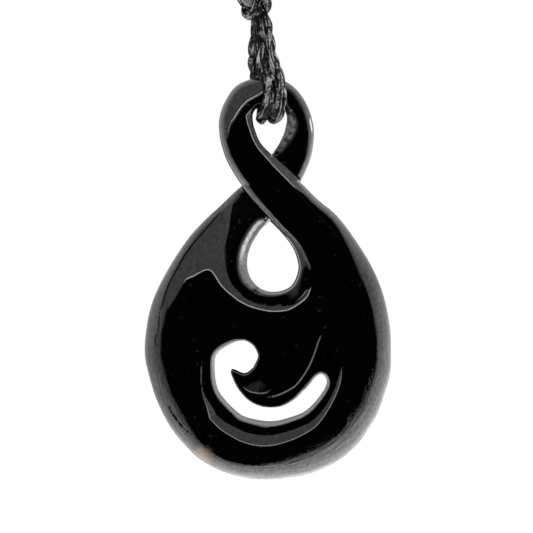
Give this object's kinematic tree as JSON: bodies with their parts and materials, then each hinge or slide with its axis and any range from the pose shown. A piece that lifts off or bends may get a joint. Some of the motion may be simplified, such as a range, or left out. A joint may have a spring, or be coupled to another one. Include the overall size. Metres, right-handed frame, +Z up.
{
  "type": "carved stone twist pendant on a neck cord",
  "caption": "Carved black stone twist pendant with a small upper loop, a teardrop body and a pierced hook slot, hung by a doubled waxed cord from a knot on a whole neck cord.",
  "frame": {"origin": "at the nape, on the inner side of the neck cord at its highest point, where the cord rests on the wearer's neck", "axes": "+Z up, -Y toward the viewer of the pendant's face, +X to that viewer's right; the pendant hangs at the front of the loop"},
  "size_m": [0.1254, 0.1358, 0.1645],
  "materials": {
    "stone": "polished black nephrite, with matt carved walls",
    "cord": "waxed twisted cord"
  },
  "bodies": {
    "cord": {"neck_cord": "cord", "knot": "cord", "bail_cord": "cord"},
    "stone": {"pendant": "stone"}
  },
  "joints": [
    {"name": "pendant_swing", "type": "hinge", "parent": "cord", "child": "stone", "pos_m": [0.0003, -0.13023, -0.11937], "axis": [1, 0, 0], "range_deg": [-20, 20]}
  ]
}
